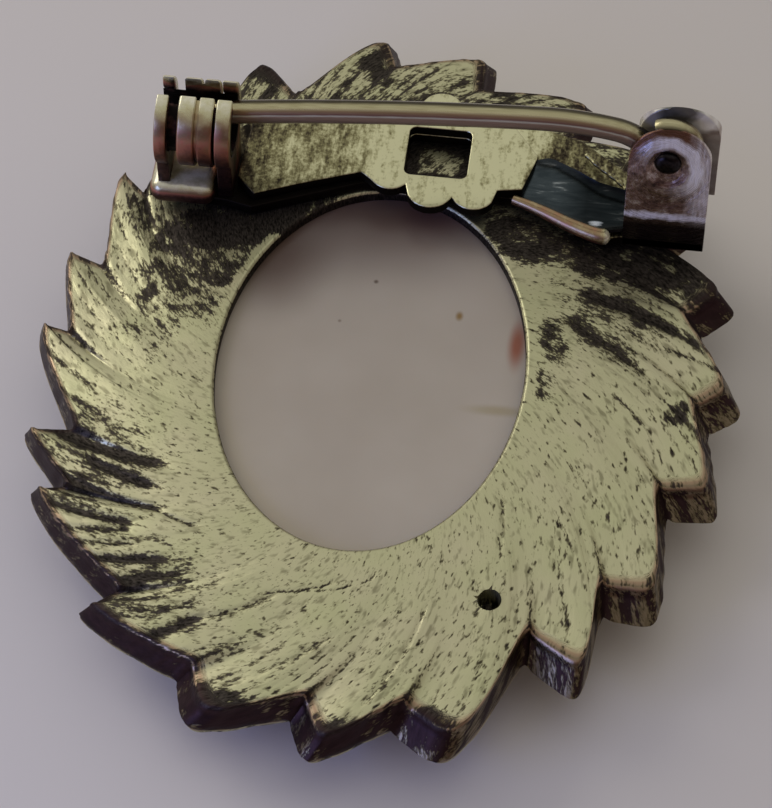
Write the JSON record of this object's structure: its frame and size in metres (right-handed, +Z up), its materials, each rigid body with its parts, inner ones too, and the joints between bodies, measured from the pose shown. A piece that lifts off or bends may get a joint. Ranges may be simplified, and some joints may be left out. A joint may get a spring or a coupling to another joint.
{
  "type": "oval cameo brooch",
  "caption": "Oval cameo brooch lying face down: cast leaf-tip frame, moulded cameo, pin bar with a hinged pin and a turning barrel catch.",
  "frame": {"origin": "middle of the part's box on the surface that it lies on", "axes": "+Z up, out of the back of the brooch; +Y from the middle of the cameo toward the pin; +X toward the hinge"},
  "size_m": [0.0354, 0.0446, 0.0125],
  "materials": {
    "cast_frame": "antiqued casting",
    "cameo_resin": "smooth moulded",
    "bar_metal": "worn plated sheet",
    "rivet_metal": "dark",
    "pin_wire": "drawn wire",
    "catch_metal": "turned, tarnished"
  },
  "bodies": {
    "brooch": {"frame": "cast_frame", "cameo": "cameo_resin", "pin_bar": "bar_metal", "hinge_rivet": "rivet_metal"},
    "pin": {"pin": "pin_wire"},
    "barrel": {"catch_barrel": "catch_metal"}
  },
  "joints": [
    {"name": "pin_pivot", "type": "hinge", "parent": "brooch", "child": "pin", "pos_m": [0.0129, 0.0106, 0.0105], "axis": [0, 1, 0], "range_deg": [0, 100]},
    {"name": "catch_roll", "type": "hinge", "parent": "brooch", "child": "barrel", "pos_m": [-0.01075, 0.01015, 0.0094], "axis": [1, 0, 0], "range_deg": [0, 100]}
  ]
}
